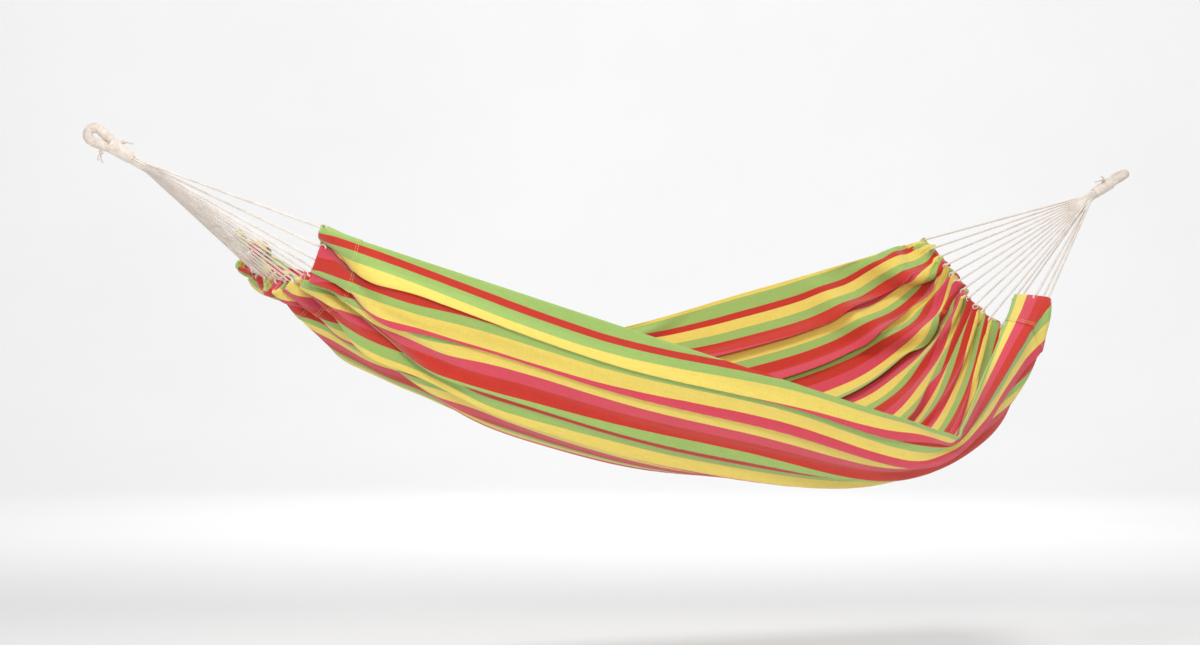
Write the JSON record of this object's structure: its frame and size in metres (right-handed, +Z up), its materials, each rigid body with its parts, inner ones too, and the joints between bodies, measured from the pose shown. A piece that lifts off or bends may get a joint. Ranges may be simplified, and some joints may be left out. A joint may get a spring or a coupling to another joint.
{
  "type": "cloth hammock",
  "caption": "Striped woven cotton hammock: a long gathered cloth bed with deep end hems, hung by fans of harness cords from a served rope eye at each end.",
  "frame": {"origin": "where the left eye bears on its hook", "axes": "+X horizontally to the right eye's hook, +Z up, +Y away from the cloth's near edge"},
  "size_m": [2.6211, 0.9037, 0.8103],
  "materials": {
    "striped_cloth": "woven cotton with lengthwise green, yellow, pink and red stripes",
    "hem_cloth": "the same striped cotton, turned back and sewn double",
    "harness_cord": "twisted natural cotton cord",
    "rope_core": "bundled natural cotton cords",
    "served_twine": "natural cotton twine wound close",
    "whipping_twine": "natural cotton thread wound smooth",
    "tie_twine": "knotted cotton twine with frayed ends"
  },
  "bodies": {
    "left_eye": {"left_eye_rope": "rope_core", "left_eye_serving": "served_twine", "left_neck_whipping": "whipping_twine", "left_serving_tie": "tie_twine", "left_neck_knot": "tie_twine"},
    "hammock": {"bed_cloth": "striped_cloth", "left_end_hem": "hem_cloth", "right_end_hem": "hem_cloth", "left_hem_cord": "harness_cord", "right_hem_cord": "harness_cord", "left_cord_fan": "harness_cord", "right_cord_fan": "harness_cord", "left_cord_01": "harness_cord", "left_cord_02": "harness_cord", "left_cord_03": "harness_cord", "left_cord_04": "harness_cord", "left_cord_05": "harness_cord", "left_cord_06": "harness_cord", "left_cord_07": "harness_cord", "left_cord_08": "harness_cord", "left_cord_09": "harness_cord", "left_cord_10": "harness_cord", "left_cord_11": "harness_cord", "left_cord_12": "harness_cord", "left_cord_13": "harness_cord", "left_cord_14": "harness_cord", "left_cord_15": "harness_cord", "left_cord_16": "harness_cord", "left_cord_17": "harness_cord", "left_cord_18": "harness_cord", "right_cord_01": "harness_cord", "right_cord_02": "harness_cord", "right_cord_03": "harness_cord", "right_cord_04": "harness_cord", "right_cord_05": "harness_cord", "right_cord_06": "harness_cord", "right_cord_07": "harness_cord", "right_cord_08": "harness_cord", "right_cord_09": "harness_cord", "right_cord_10": "harness_cord", "right_cord_11": "harness_cord", "right_cord_12": "harness_cord", "right_cord_13": "harness_cord", "right_cord_14": "harness_cord", "right_cord_15": "harness_cord", "right_cord_16": "harness_cord", "right_cord_17": "harness_cord", "right_cord_18": "harness_cord"},
    "right_eye": {"right_eye_rope": "rope_core", "right_eye_serving": "served_twine", "right_neck_whipping": "whipping_twine", "right_neck_tie": "tie_twine"}
  },
  "joints": [
    {"name": "swing", "type": "hinge", "parent": "left_eye", "child": "hammock", "pos_m": [0.08229, 0, -0.04944], "axis": [1, 0, 0], "range_deg": [-40, 40]},
    {"name": "right_eye_hold", "type": "hinge", "parent": "hammock", "child": "right_eye", "pos_m": [2.49771, 0, -0.04944], "axis": [1, 0, 0], "range_deg": [-40, 40]}
  ],
  "couplings": [
    {"joint": "right_eye_hold", "follows": "swing", "ratio": -1}
  ]
}
